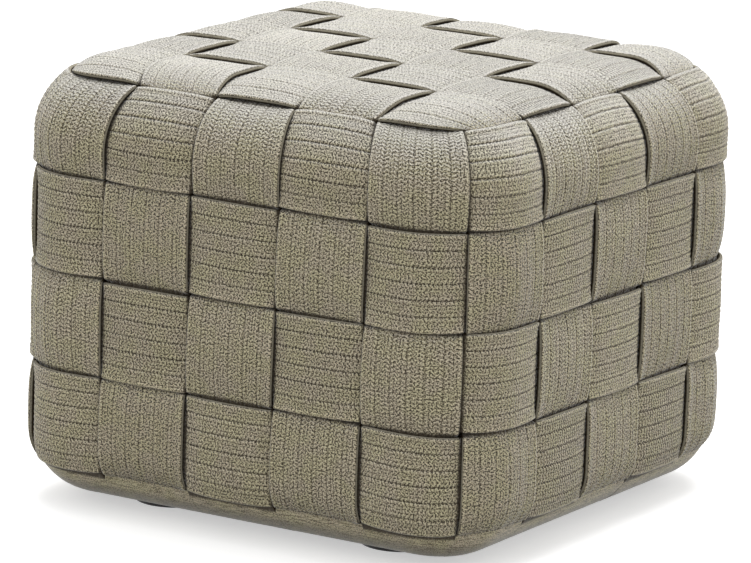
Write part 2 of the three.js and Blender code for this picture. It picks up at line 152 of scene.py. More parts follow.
def side_place(column, distance):
    """Points and outward directions on the sides."""
    column, distance = np.broadcast_arrays(np.asarray(column, float), np.asarray(distance, float))
    inset, height, tilt = outline_place(distance)
    x, y, out_x, out_y = plan_place(column, inset, height > (BODY_TOP + BODY_BOTTOM) / 2)
    level = np.cos(tilt)
    return (
        np.stack([x, y, height], -1),
        np.stack([out_x * level, out_y * level, np.sin(tilt)], -1),
    )


def top_height(x, y):
    """Height of the top: the rim's arc goes on inwards to a shallow crown."""
    out_x, out_y = np.abs(x) - STRAIGHT, np.abs(y) - STRAIGHT
    core = np.hypot(np.maximum(out_x, 0), np.maximum(out_y, 0))
    core = core + np.minimum(np.maximum(out_x, out_y), 0)
    apex = np.maximum(core - PLAN_RADIUS + TOP_RADIUS, 0)
    rim = HALF_WIDTH - RIM_INSET
    crown = CROWN * (1 - (x / rim) ** 2) * (1 - (y / rim) ** 2)
    return TOP_CENTRE + np.sqrt(np.maximum(TOP_RADIUS**2 - apex**2, 0)) + crown


def patch_place(s, t, inset, on_top):
    """Level place between four sides of the rounded square drawn in by inset."""
    s, t = np.broadcast_arrays(np.asarray(s, float), np.asarray(t, float))

    def rim(column):
        return np.stack(plan_place(column, inset, on_top)[:2], -1)

    near = 1e-7
    s, t = np.clip(s, near, COLUMNS - near), np.clip(t, near, COLUMNS - near)
    u, v = (s / COLUMNS)[..., None], (t / COLUMNS)[..., None]
    ruled = (1 - v) * rim(s) + v * rim(LEFT_START - s)
    ruled = ruled + (1 - u) * rim(RING_CELLS - t) + u * rim(RIGHT_START + t)
    front = (1 - v) * ((1 - u) * rim(0) + u * rim(RIGHT_START))
    back = v * (u * rim(BACK_START) + (1 - u) * rim(LEFT_START))
    return ruled - front - back


def top_place(s, t):
    """Points and outward directions on the top."""
    place = patch_place(s, t, RIM_INSET, True)
    x, y = place[..., 0], place[..., 1]
    step = MM
    slope_x = (top_height(x + step, y) - top_height(x - step, y)) / (2 * step)
    slope_y = (top_height(x, y + step) - top_height(x, y - step)) / (2 * step)
    out = np.stack([-slope_x, -slope_y, np.ones_like(slope_x)], -1)
    out /= np.linalg.norm(out, axis=-1, keepdims=True)
    return np.stack([x, y, top_height(x, y)], -1), out


# How one band runs

class BandRun:
    """A band's way over the body: run is a nominal length along it, across runs from -1 to 1."""

    def __init__(self, kind, index):
        self.kind = kind
        self.index = index
        self.ring = kind == "ring"
        self.length = RING_CELLS * COLUMN_PITCH if self.ring else 2 * SIDE_RUN + TOP_RUN
        self.cells = RING_CELLS if self.ring else 2 * ROWS + COLUMNS
        self.first = RING_CELLS - 1 - index if kind == "crosswise" else index

    def cell_place(self, run):
        """The place along the band counted in squares of the weave."""
        if self.ring:
            return run / COLUMN_PITCH
        on_top = ROWS + (run - SIDE_RUN) / TOP_RUN * COLUMNS
        start = (WEAVE_END - SIDE_RUN + run) / ROW_PITCH
        end = ROWS + COLUMNS + (run - SIDE_RUN - TOP_RUN) / ROW_PITCH
        return np.where(run < SIDE_RUN, start, np.where(run < SIDE_RUN + TOP_RUN, on_top, end))

    def over(self, cell):
        """1 where the band lies over in that square, -1 where it lies under, 0 past its weave."""
        if self.ring:
            return np.where((cell + self.index) % 2 == 0, -1, 1)
        sign = np.where((self.first + ROWS - 1 - cell) % 2 == 0, 1, -1)
        return np.where((cell < 0) | (cell >= self.cells), 0, sign)

    def offset(self, run, across, pillow):
        """How far the band's middle lies from the middle surface."""
        place = self.cell_place(run)
        cell = np.floor(place)
        along = 2 * (place - cell) - 1
        side = np.sign(along)
        here = self.level(cell, across, np.clip(along, -SHARE, SHARE), pillow)
        there = self.level(cell + side, across, -side * SHARE, pillow)
        part = rise(np.abs(along), SHARE, 2 * (1 - SHARE))
        return here * (1 - part) + there * part

    def level(self, cell, across, along, pillow):
        over = self.over(cell)
        rise = np.abs(across) ** EDGE_POWER - np.abs(along) ** EDGE_POWER
        swell = pillow * (1 - across**2) * (1 - along**2)
        return np.where(over == 0, 0.0, swell + over * HALF_STACK * (1 + rise))

    def tail(self, run):
        """How far a place lies past the last square, in metres, or less than 0 inside the weave."""
        if self.ring:
            return np.full(np.shape(run), -1.0)
        return np.maximum(SIDE_RUN - WEAVE_END - run, run - (self.length - SIDE_RUN + WEAVE_END))

    def place(self, run, across):
        """Points and outward directions of the middle surface under the band."""
        run, across = np.broadcast_arrays(np.asarray(run, float), np.asarray(across, float))
        if self.ring:
            distance = (self.index + (across + 1) / 2) * ROW_PITCH
            return side_place(run / COLUMN_PITCH, distance)
        lay = self.index + (across + 1) / 2
        crosswise = self.kind == "crosswise"
        start = RING_CELLS - lay if crosswise else lay
        end = RIGHT_START + lay if crosswise else LEFT_START - lay
        first = side_place(start, np.maximum(SIDE_RUN - run, 0))
        last = side_place(end, np.maximum(run - SIDE_RUN - TOP_RUN, 0))
        along = np.clip((run - SIDE_RUN) / TOP_RUN * COLUMNS, 0, COLUMNS)
        middle = top_place(along, lay) if crosswise else top_place(lay, along)
        low, high = (run < SIDE_RUN)[..., None], (run > SIDE_RUN + TOP_RUN)[..., None]
        return tuple(np.where(low, a, np.where(high, c, b)) for a, b, c in zip(first, middle, last))


# Meshes

MERGE_DISTANCE = 2e-6
BLOCK_MERGE_DISTANCE = 1e-5


def deselect():
    bpy.ops.object.select_all(action="DESELECT")


def activate(piece):
    deselect()
    piece.select_set(True)
    bpy.context.view_layer.objects.active = piece


def start_edit():
    bpy.ops.object.mode_set(mode="EDIT")
    bpy.ops.mesh.select_all(action="SELECT")


def end_edit():
    bpy.ops.object.mode_set(mode="OBJECT")


def fill(target, key, values):
    target.foreach_set(key, values.astype(np.float32).ravel())


def join_up(threshold, close=False):
    """Merges the corners that meet, fills holes if asked, and turns the faces outwards."""
    start_edit()
    bpy.ops.mesh.remove_doubles(threshold=threshold)
    if close:
        bpy.ops.mesh.select_all(action="SELECT")
        bpy.ops.mesh.fill_holes(sides=0)
        bpy.ops.mesh.select_all(action="SELECT")
    bpy.ops.mesh.normals_make_consistent(inside=False)
    end_edit()
    bpy.ops.object.shade_smooth()


def folded_grid(name, points, close=False, lays=None, marks=None, face=None):
    """A grid laid on points[row, column]. Edges that meet are merged. Each of lays gives a
    UV map from a row and a column of a corner and of the face that it belongs to, and each of
    marks is an attribute of the points. Columns outside the face take the second material."""
    rows, columns = points.shape[:2]
    deselect()
    bpy.ops.mesh.primitive_grid_add(x_subdivisions=columns - 1, y_subdivisions=rows - 1, size=1)
    piece = bpy.context.object
    piece.name = piece.data.name = name
    mesh = piece.data
    if len(mesh.vertices) != rows * columns:
        raise RuntimeError(f"{name}: the grid has {len(mesh.vertices)} corners")
    fill(mesh.vertices, "co", points)
    corner = np.zeros(len(mesh.loops), np.int32)
    mesh.loops.foreach_get("vertex_index", corner)
    first = corner.reshape(-1, 4).min(1)
    if face:
        outside = (first % columns < face[0]) | (first % columns > face[1])
        mesh.polygons.foreach_set("material_index", outside.astype(np.int32))
    first = first.repeat(4)
    for layer in list(mesh.uv_layers):
        mesh.uv_layers.remove(layer)
    for map_name, lay in (lays or {}).items():
        layer = mesh.uv_layers.new(name=map_name)
        uv = lay(corner // columns, corner % columns, first // columns, first % columns)
        fill(layer.data, "uv", uv)
    for mark, values in (marks or {}).items():
        attribute = mesh.attributes.new(mark, "FLOAT", "POINT")
        fill(attribute.data, "value", values)
    join_up(MERGE_DISTANCE, close)
    return piece


def dress(piece, materials, slot, *nodes):
    """Gives a finished piece its materials, its body and the nodes that it stands for."""
    own = np.zeros(len(piece.data.polygons), np.int32)
    piece.data.polygons.foreach_get("material_index", own)
    piece.data.materials.clear()
    for material in materials:
        piece.data.materials.append(material)
    piece.data.polygons.foreach_set("material_index", own)
    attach(piece, "root")
    if nodes:
        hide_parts(*nodes)
    return piece


def redress(node, material):
    """Gives a kept CAD node a new material."""
    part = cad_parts[node]
    for place in part.material_slots:
        place.material = material


# Materials

class Nodes:
    """A material's nodes, added one after the other."""

    def __init__(self, name, roughness):
        self.material = bpy.data.materials.new(name)
        self.material.use_nodes = True
        self.tree = self.material.node_tree
        self.shader = self.tree.nodes["Principled BSDF"]
        self.shader.inputs["Roughness"].default_value = roughness

    def add(self, kind, **settings):
        node = self.tree.nodes.new("ShaderNode" + kind)
        for key, value in settings.items():
            setattr(node, key, value)
        return node

    def link(self, source, target):
        self.tree.links.new(source, target)

    def put(self, socket, value):
        if hasattr(value, "is_output"):
            self.link(value, socket)
        else:
            socket.default_value = value

    def math(self, operation, *values):
        node = self.add("Math", operation=operation)
        for socket, value in zip(node.inputs, values):
            self.put(socket, value)
        return node.outputs[0]

    def times(self, a, b):
        return self.math("MULTIPLY", a, b)

    def plus(self, a, b):
        return self.math("ADD", a, b)

    def minus(self, a, b):
        return self.math("SUBTRACT", a, b)

    def rest(self, share):
        return self.minus(1.0, share)

    def most(self, a, b):
        return self.math("MAXIMUM", a, b)

    def hump(self, share):
        """1 in the middle of a share from 0 to 1, falling to 0 at both ends."""
        out = self.minus(self.times(share, 2.0), 1.0)
        return self.rest(self.times(out, out))

    def split(self, source):
        node = self.add("SeparateXYZ")
        self.link(source, node.inputs[0])
        return node.outputs

    def mark(self, name):
        return self.add("Attribute", attribute_name=name).outputs["Fac"]

    def where(self):
        return self.add("TexCoord").outputs["Object"]

    def vector(self, *values):
        node = self.add("CombineXYZ")
        for socket, value in zip(node.inputs, values):
            self.put(socket, value)
        return node.outputs[0]

    def white(self, *place):
        node = self.add("TexWhiteNoise", noise_dimensions="3D")
        self.link(self.vector(*place), node.inputs["Vector"])
        return node.outputs[0]

    def noise(self, vector, scale, detail=2.0, roughness=0.5):
        node = self.add("TexNoise")
        self.link(vector, node.inputs["Vector"])
        node.inputs["Scale"].default_value = scale
        node.inputs["Detail"].default_value = detail
        node.inputs["Roughness"].default_value = roughness
        return node.outputs["Fac"]

    def ramp(self, value, stops):
        node = self.add("ValToRGB")
        self.link(value, node.inputs[0])
        elements = node.color_ramp.elements
        while len(elements) < len(stops):
            elements.new(0.5)
        for element, (place, colour) in zip(elements, stops):
            element.position = place
            element.color = opaque(colour)
        return node.outputs[0]

    def mix(self, factor, a, b, blend="MIX"):
        node = self.add("Mix", data_type="RGBA", blend_type=blend)
        self.put(node.inputs[0], factor)
        self.put(node.inputs[6], a)
        self.put(node.inputs[7], b)
        return node.outputs[2]

    def range(self, value, low, high, to_low=0.0, to_high=1.0):
        node = self.add("MapRange", interpolation_type="SMOOTHSTEP")
        for socket, number in zip(node.inputs, (value, low, high, to_low, to_high)):
            self.put(socket, number)
        return node.outputs[0]

    def bump(self, height, distance, strength=1.0, normal=None):
        node = self.add("Bump")
        node.inputs["Strength"].default_value = strength
        node.inputs["Distance"].default_value = distance
        self.link(height, node.inputs["Height"])
        if normal:
            self.link(normal, node.inputs["Normal"])
        return node.outputs[0]

    def finish(self, colour=None, normal=None, roughness=None, **constants):
        if colour is not None:
            self.link(colour, self.shader.inputs["Base Color"])
        if normal is not None:
            self.link(normal, self.shader.inputs["Normal"])
        if roughness is not None:
            self.link(roughness, self.shader.inputs["Roughness"])
        for key, value in constants.items():
            self.shader.inputs[key.replace("_", " ")].default_value = value
        return self.material


TINT_OLIVE = (1.0, 1.0, 0.92, 1)
TINT_MAUVE = (1.0, 0.97, 1.0, 1)


def rgb(colour):
    return tuple(colour)[:3]


def opaque(colour):
    return (*rgb(colour), 1)


def tone(colour, factor):
    return [min(c * factor, 1) for c in colour]


# The heather of the yarns: how fine each part of it is, and how much it counts
YARN_FINENESS = (2.9, 520.0, 5.3)  # along a strand, across it, from column to column
FLECK_FINENESS = 820.0
STREAK_FINENESS = (90.0, 420.0)
YARN_PART, FLECK_PART, OWN_PART = 0.2, 1.55, 0.02
FLECK_START = 0.19
PLAIN_TONE = 0.71
HEATHER_STOPS = (0.545, 0.632, 0.70, 0.765)
STREAK_PART, STREAK_FLECK_PART, STREAK_START, STREAK_STRENGTH = 0.5, 0.7, 0.6, 0.7

# Painted shade in the lines, pits and gaps of the braid: how dark it is
PIT_SHADE = 0.7
SEAM_SHADE = 0.54
YARN_GAP_SHADE = 0.4
CORD_LINE_SHADES = (0.62, 0.92)
INNER_LINE_SHADE = 0.36
LINE_ON_STRAND = 0.2  # share of a line's shade that is left where a strand crosses it
PLAIN_SHADE = 0.12
CREASE_SHADE = 0.95


def braid_material(name, weave, finish, line_shade):
    """Braided cords: heathered yarn, V-shaped strands, painted highlights, painted shade in grooves
    and creases, painted light on faces that look up.
    """
    m = Nodes(name, 0.8)
    u, v, _ = m.split(m.add("UVMap", uv_map="Lay").outputs[0])
    wale = weave.cord_width / WALES
    cords = m.math("DIVIDE", u, weave.cord_width)
    wave = m.math("SINE", m.times(cords, 2 * math.pi))
    wales = m.times(m.minus(cords, m.times(wave, CROWDING)), WALES)
    column = m.math("FLOOR", wales)
    turn = m.math("FRACT", m.math("DIVIDE", wales, 2.0))
    leg = m.times(m.math("ABSOLUTE", m.minus(turn, 0.5)), 2 * wale)
    lean = m.times(leg, math.tan(weave.strand_angle))
    phase = m.math("DIVIDE", m.plus(v, lean), weave.strand_pitch)
    strand = m.math("FLOOR", phase)
    over_strand = m.hump(m.minus(phase, strand))
    over_wale = m.hump(m.math("FRACT", wales))
    grain = m.times(over_strand, over_wale)
    gap = m.rest(over_strand)
    plain = m.mark("plain")
    braided = m.rest(plain)

    own = m.white(strand, column)
    along, across, aside = YARN_FINENESS
    yarn_place = m.vector(m.times(phase, along), m.times(leg, across), m.times(column, aside))
    yarn = m.noise(yarn_place, 1.0, 0.0)
    fleck_place = m.vector(m.times(u, FLECK_FINENESS), m.times(v, FLECK_FINENESS), 0.0)
    fleck = m.noise(fleck_place, 1.0, 0.0)
    across, along = STREAK_FINENESS
    streak = m.noise(m.vector(m.times(u, across), m.times(v, along), 3.0), 1.0, 1.0)
    flecked = m.minus(m.times(fleck, FLECK_PART), FLECK_START)
    mixed = m.plus(m.times(yarn, YARN_PART), flecked)
    mixed = m.plus(m.times(mixed, braided), m.times(plain, PLAIN_TONE))
    mixed = m.plus(mixed, m.times(own, OWN_PART))
    grit = m.minus(m.times(fleck, STREAK_FLECK_PART), STREAK_START)
    grit = m.plus(m.times(streak, STREAK_PART), grit)
    mixed = m.plus(mixed, m.times(grit, m.times(plain, STREAK_STRENGTH)))
    yarns = (finish.dark_yarn, finish.taupe_yarn, finish.greige_yarn, finish.cream_yarn)
    colour = m.ramp(mixed, list(zip(HEATHER_STOPS, yarns)))
    # Painted highlight: the middle of each strand is mixed about half way to the cream yarn
    crown_highlight = m.times(m.range(grain, 0.4, 1.0), m.range(own, 0.0, 1.0, 0.47, 0.54))
    colour = m.mix(m.times(crown_highlight, braided), colour, opaque(finish.cream_yarn))

    # Painted shade in the recesses of the braid: pits and gaps between strands and yarns, and lines
    # between cords
    pit_shade = m.range(m.times(gap, m.rest(over_wale)), 0.10, 0.55, 0.0, PIT_SHADE)
    half_strand = m.math("FRACT", m.plus(m.times(phase, 2.0), 0.5))
    between_yarns = m.range(m.rest(m.hump(half_strand)), 0.3, 1.0, 0.0, YARN_GAP_SHADE)
    strand_gap_shade = m.most(m.range(gap, 0.4, 1.0, 0.0, SEAM_SHADE), between_yarns)
    line = m.white(m.math("FLOOR", m.plus(cords, 0.5)), 7.0)
    depth = m.range(line, 0.0, 1.0, *CORD_LINE_SHADES)
    beside = m.math("ABSOLUTE", m.minus(m.math("FRACT", cords), 0.5))
    groove_shade = m.times(m.range(beside, 0.42, 0.475), depth)
    inner = m.math("ABSOLUTE", m.minus(beside, 0.5 - CORD_LINE))
    groove_shade = m.most(groove_shade, m.range(inner, 0.05, 0.015, 0.0, INNER_LINE_SHADE))
    groove_shade = m.times(groove_shade, m.range(gap, 0.0, 0.7, LINE_ON_STRAND * line_shade, line_shade))
    shade = m.most(m.most(pit_shade, strand_gap_shade), groove_shade)
    shade = m.times(shade, m.range(plain, 0.0, 1.0, 1.0, PLAIN_SHADE))
    # Painted shade in creases, where a band dives under another and down its side walls
    painted_crease_shade = m.mark("painted_crease_shade")
    shade = m.most(shade, m.times(painted_crease_shade, CREASE_SHADE))
    colour = m.mix(shade, colour, opaque(finish.groove_shade))
    cloud = m.range(m.noise(m.vector(u, v, 0.0), 45.0, 1.0), 0.35, 0.65)
    colour = m.mix(1.0, colour, m.mix(cloud, TINT_OLIVE, TINT_MAUVE), "MULTIPLY")

    # Painted light: faces that look up are made greyer and paler, as light from above shows them,
    # except where the painted crease shade lies
    up = m.split(m.add("NewGeometry").outputs["Normal"])[2]
    grey = m.add("RGBToBW")
    m.link(colour, grey.inputs[0])
    colour = m.mix(m.range(up, 0.15, 0.6, 0.0, 0.3), colour, grey.outputs[0])
    top_light_colour = m.mix(0.5, grey.outputs[0], opaque(finish.top_light_tone))
    top_light = m.times(m.range(up, 0.5, 0.88, 0.0, finish.top_light_share), m.rest(painted_crease_shade))
    colour = m.mix(top_light, colour, top_light_colour)
    height = m.plus(m.times(m.times(grain, braided), 1.4), fleck)
    normal = m.bump(height, weave.yarn_relief)
    return m.finish(
        colour, normal, Sheen_Weight=finish.sheen, Sheen_Roughness=0.35, Specular_IOR_Level=0.5
    )


def edge_material(finish):
    """Side wall and back of a band: plain cord with painted shade, darker towards the back."""
    m = Nodes("band_edge", 0.95)
    stops = [
        (0.0, finish.edge),
        (0.4, tone(finish.edge, 0.6)),
        (0.65, finish.dark_yarn),
        (1.0, finish.groove_shade),
    ]
    colour = m.ramp(m.mark("painted_crease_shade"), stops)
    fibre = m.noise(m.add("UVMap", uv_map="Lay").outputs[0], 700.0, 1.0)
    colour = m.mix(m.range(fibre, 0.45, 0.7, 0.0, 0.35), colour, opaque(finish.groove_shade))
    return m.finish(colour, m.bump(fibre, 0.5 * MM), Specular_IOR_Level=0.2)


def cloth_material(name, colour, thread, relief):
    """Plain woven cloth."""
    m = Nodes(name, 0.95)
    where = m.where()
    x, y, z = m.split(where)
    turn = math.pi * 2 / thread
    first = m.math("SINE", m.times(x, turn))
    second = m.math("SINE", m.times(m.plus(y, z), turn))
    cloud = m.noise(where, 60.0, 3.0)
    weft = m.plus(m.times(m.times(first, second), 0.15), cloud)
    shown = m.ramp(weft, [(0.3, tone(colour, 0.72)), (0.7, tone(colour, 1.25))])
    return m.finish(shown, m.bump(weft, relief), Sheen_Weight=0.15, Specular_IOR_Level=0.25)


def foam_material(colour):
    """Open-celled outdoor foam."""
    m = Nodes("open_foam", 1.0)
    where = m.where()
    cells = m.add("TexVoronoi", feature="DISTANCE_TO_EDGE")
    m.link(where, cells.inputs["Vector"])
    cells.inputs["Scale"].default_value = 420.0
    # Painted shade in the foam's cells: their insides are darker than the edges between them
    cell_inside = m.range(cells.outputs["Distance"], 0.0, 0.12)
    shown = m.ramp(m.noise(where, 12.0, 3.0), [(0.35, tone(colour, 0.92)), (0.65, colour)])
    shown = m.mix(m.times(cell_inside, 0.35), shown, opaque(tone(colour, 0.6)))
    return m.finish(shown, m.bump(cell_inside, 0.5 * MM, 0.6))


def board_material(colour):
    """Grey recycled plastic board with a fine grain."""
    m = Nodes("base_board_plastic", 0.8)
    where = m.where()
    grain = m.noise(where, 900.0, 2.0)
    cloud = m.noise(where, 18.0, 4.0)
    shown = m.ramp(cloud, [(0.3, tone(colour, 0.8)), (0.7, tone(colour, 1.15))])
    return m.finish(shown, m.bump(grain, 0.2 * MM), m.range(cloud, 0.2, 0.8, 0.7, 0.88))


def glide_material(colour):
    """Black moulded plastic, scuffed by the floor."""
    m = Nodes("glide_plastic", 0.5)
    where = m.where()
    grain = m.noise(where, 1400.0, 2.0)
    stretch = m.add("Mapping")
    stretch.inputs["Scale"].default_value = (1.0, 14.0, 1.0)
    stretch.inputs["Rotation"].default_value = (0, 0, 0.6)
    m.link(where, stretch.inputs["Vector"])
    scuff = m.range(m.noise(stretch.outputs[0], 90.0, 4.0, 0.7), 0.58, 0.72)
    shown = m.mix(m.times(scuff, 0.25), opaque(colour), opaque(tone(colour, 4)))
    return m.finish(shown, m.bump(grain, 0.1 * MM), m.range(scuff, 0.0, 1.0, 0.42, 0.7))


def screw_material(colour):
    """Bright zinc, finely turned."""
    m = Nodes("zinc_screw", 0.32)
    where = m.where()
    cloud = m.noise(where, 160.0, 3.0)
    shown = m.ramp(cloud, [(0.3, tone(colour, 0.85)), (0.7, colour)])
    rough = m.range(cloud, 0.2, 0.8, 0.25, 0.42)
    return m.finish(shown, m.bump(m.noise(where, 2400.0, 1.0), 0.05 * MM), rough, Metallic=1.0)


# Settings

def length_property(name, description, default, precision=5):
    return bpy.props.FloatProperty(
        name=name, description=description, default=default,
        subtype="DISTANCE", unit="LENGTH", precision=precision,
    )


def angle_property(name, description, default):
    return bpy.props.FloatProperty(
        name=name, description=description, default=default, subtype="ANGLE", unit="ROTATION"
    )


def share_property(name, description, default, most=1.0):
    return bpy.props.FloatProperty(
        name=name, description=description, default=default, min=0, max=most, subtype="FACTOR"
    )


def colour_property(name, description, default):
    return bpy.props.FloatVectorProperty(
        name=name, description=description, default=default, subtype="COLOR", size=3, min=0, max=1
    )


class WeaveSizes(bpy.types.PropertyGroup):
    """Sizes of the braided bands."""

    cord_count: bpy.props.IntProperty(
        name="Cords", description="Braided cords side by side in one band", default=6, min=3, max=12
    )
    cord_width: length_property("Cord Width", "Width of one braided cord", 0.01384)
    thickness: length_property("Thickness", "Thickness of a band", 0.005, 4)
    groove_depth: length_property(
        "Groove Depth", "Depth of the groove between two cords", 0.0009
    )
    strand_pitch: length_property(
        "Strand Pitch", "Length along a cord from one strand to the next", 0.0036
    )
    strand_angle: angle_property(
        "Strand Angle", "Lean of the strands in a braided cord", math.radians(34)
    )
    strand_relief: length_property(
        "Strand Relief", "Height of a strand over the gap beside it", 0.0006
    )
    yarn_relief: length_property("Yarn Relief", "Height of the yarns in a strand", 0.00024)
    pillow: length_property("Pillow", "How far the middle of a square swells", 0.003, 4)
    drift: length_property("Drift", "How far a band strays from its straight way", 0.0008)


class Finishes(bpy.types.PropertyGroup):
    """Colours of the pieces."""

    dark_yarn: colour_property("Dark Yarn", "Darkest yarn of the heather", (0.05, 0.040, 0.024))
    taupe_yarn: colour_property("Taupe Yarn", "Darker of the two main yarns", (0.232, 0.194, 0.115))
    greige_yarn: colour_property(
        "Greige Yarn", "Lighter of the two main yarns", (0.402, 0.350, 0.222)
    )
    cream_yarn: colour_property("Cream Yarn", "Lightest yarn of the heather", (0.75, 0.685, 0.49))
    edge: colour_property("Band Edge", "Plain cord along a band's side", (0.36, 0.33, 0.255))
    # Painted light: the pale tone that faces looking up are mixed towards
    top_light_tone: colour_property("Bleached", "What the sun leaves of the yarns", (0.37, 0.355, 0.315))
    groove_shade: colour_property("Groove", "Shade in the grooves between cords", (0.030, 0.019, 0.008))
    sheen: share_property("Sheen", "Soft light on the fibres at a low angle", 0.72)
    # Painted shade in the lines between cords: deeper on the level lines of the rings, which light
    # from above would shade more, than on the upright bands
    ring_line_shade: share_property(
        "Ring Lines", "Darkness of the lines between the cords of the rings", 1.45, 1.5
    )
    upright_line_shade: share_property(
        "Upright Lines", "Darkness of the lines between the other cords", 0.6, 1.5
    )
    # Painted light: how far faces that look up are mixed towards that pale tone
    top_light_share: share_property("Fading", "How far the sun has bleached what faces up", 0.68)
    # The liner's dark colour is painted shade, for the gaps between the bands where it shows
    liner: colour_property("Liner", "Cloth bag round the foam", (0.11, 0.095, 0.07))
    foam: colour_property("Foam", "Foam block", (0.66, 0.64, 0.57))
    board: colour_property("Board", "Base board", (0.065, 0.065, 0.062))
    base_cloth: colour_property("Base Cloth", "Cloth under the board", (0.012, 0.012, 0.012))
    glide: colour_property("Glide", "Moulded glides", (0.008, 0.008, 0.008))
    screw: colour_property("Screw", "Zinc of the screws", (0.62, 0.63, 0.65))


class StageSettings(bpy.types.PropertyGroup):
    """Floor, lamps and camera."""

    floor: colour_property("Floor", "Floor as the object meets it", (0.25, 0.25, 0.25))
    backdrop: colour_property("Backdrop", "Floor as the camera sees it", (0.75, 0.75, 0.75))
    backdrop_glow: bpy.props.FloatProperty(
        name="Backdrop Glow", description="Even white that the camera sees on the floor",
        default=0.5, min=0, max=1,
    )
    ambient: bpy.props.FloatProperty(
        name="Ambient", description="Strength of the even light from all round", default=0.9, min=0
    )
    overhead: bpy.props.FloatProperty(
        name="Overhead", description="Power of the wide lamp overhead", default=85, min=0,
        subtype="POWER", unit="POWER",
    )
    camera_place: bpy.props.FloatVectorProperty(
        name="Camera", description="Place of the camera", default=(2.51866, -4.11486, 1.26948),
        subtype="TRANSLATION", unit="LENGTH", size=3,
    )
    camera_yaw: angle_property("Yaw", "Direction of view in the plan", 2.12145901)
    camera_pitch: angle_property("Pitch", "How far the view rises", -0.222136929)
    camera_roll: angle_property("Roll", "How far the camera leans", 0.0319928922)
    camera_lens: bpy.props.FloatProperty(
        name="Lens", description="Focal length in pixels of a picture 751 wide", default=5683.41
    )
    camera_middle: bpy.props.FloatVectorProperty(
        name="Middle", description="Pixel that the camera points at", default=(371.783, 286.491),
        size=2,
    )


# The pieces

CORD_NODES = (0.0, 0.06, 0.16, CORD_LINE, 0.5, 1 - CORD_LINE, 0.84, 0.94)
CORD_HEIGHTS = (-1.0, -0.3, 0.0, -0.5, 0.0, -0.4, 0.0, -0.3)
EDGE_PLACES = (0.0, 0.35 * MM, 0.95 * MM, 2.0 * MM, 3.3 * MM)
EDGE_HEIGHTS = (-2.0 * MM, -1.0 * MM, -0.45 * MM, -0.08 * MM, 0.0)
BACK_PLACES = (1.006, 0.985, 0.955, 0.6, 0.3, 0.0)
BACK_LEVELS = (-0.9 * MM, -2.1 * MM, -2.5 * MM, -2.5 * MM, -2.5 * MM, -2.5 * MM)
# Painted shade down a band's side wall, from its lowest level (1) to its face (0)
WALL_LEVELS = (-2.1, -0.9, 0.5, 1.5, 2.05, 2.42)
WALL_SHADES = (1.0, 0.75, 0.0, 0.55, 0.25, 0.0)
STRAND_STEPS = 4
STRAND_HEIGHTS = (-0.6, 0.1, 0.4, 0.1)
LINE_RELIEF = 0.4  # share of the strand relief that is left on a line between columns

# How a band is laid, drifts and ends
RUN_SAMPLES = 4001
FINE_MARGIN = 9 * MM  # fine rows go on this far past what shows
END_FADE = 30 * MM  # the strands straighten this close to a band's end
DRIFT_WAVES = 5
DRIFT_START = 6.3
SQUARE_SPREAD = 0.011  # how much wider a band is in the middle of a square that lies over
HEM_START = -4 * MM
HEM_RUN = 7 * MM
HEM_SPREAD = 0.038
HELD_RUN = 20 * MM  # a band drifts fully this far inside the weave
FLATTEN_RUN = 5 * MM
UNEVEN_PLACES = 80
UNEVEN_HEIGHT = 0.12 * MM
# Painted shade where a band dives under another, painted shadow under a ring's lower edge at the
# start of a tail, and painted shade on the hem's underside
DIVE_START, DIVE_RUN = 0.95, 0.025  # shares of half a square
SHADOW_FADE_START, SHADOW_FADE_RUN = 5 * MM, 1.6 * MM
UNDERSIDE_START, UNDERSIDE_RUN, UNDERSIDE_SHADE = 13 * MM, 5 * MM, 0.35
BOUND_WIDTH, BOUND_RUN = 4 * MM, 2 * MM
RING_TOP_BOUND, OTHER_BOUND = 0.6, 0.25

# How a band lies on its maps
GIRTH_STEP = 0.6 * MM
BACK_SHARE = 0.3
FACE_END = 0.98
YARN_OFFSET = 0.37  # each band's yarns start this much further on
STRIPS = 3
STRIP_GAP = 2 * MM
STRIP_SPARE = 12 * MM


def band_section(weave):
    """The outline of a band's section, once round from one edge over the face to the other and
    back underneath: place across as a share of half the width, height from the middle, cord
    number, distance within a strand, share of strand relief, and how many points the face has."""
    width = weave.cord_width * weave.cord_count
    wale = weave.cord_width / WALES
    top = weave.thickness / 2
    edge = EDGE_PLACES[-1] + 0.2 * MM
    face = [(d, top + h, 0.0) for d, h in zip(EDGE_PLACES, EDGE_HEIGHTS)]
    for k in range(weave.cord_count):
        for node, drop in zip(CORD_NODES, CORD_HEIGHTS):
            place = (k + node) * weave.cord_width
            if edge < place < width - edge:
                on_line = node in (0.0, CORD_LINE, 1 - CORD_LINE)
                relief = LINE_RELIEF if on_line else 1.0
                face.append((place, top + drop * weave.groove_depth, relief))
    face += [(width - d, top + h, 0.0) for d, h in reversed(list(zip(EDGE_PLACES, EDGE_HEIGHTS)))]
    place, height, relief = (np.array(part) for part in zip(*face))
    cords = place / weave.cord_width
    turn = (cords - CROWDING * np.sin(2 * math.pi * cords)) * WALES / 2 % 1
    leg = np.abs(turn - 0.5) * 2 * wale
    cord = np.clip(np.floor(cords + 1e-6), 0, weave.cord_count - 1)
    back = list(zip(BACK_PLACES, BACK_LEVELS))
    back += [(-p, h) for p, h in reversed(back[:-1])]
    under, level = (np.array(part) for part in zip(*back))
    across = np.concatenate([place / width * 2 - 1, under])
    cord = np.concatenate([cord, np.where(under > 0, weave.cord_count - 1, 0)]).astype(int)
    leg = np.concatenate([leg, np.full(len(under), wale / 2)])
    relief = np.concatenate([relief, 0 * under])
    return across, np.concatenate([height, level]), cord, leg, relief, len(place)


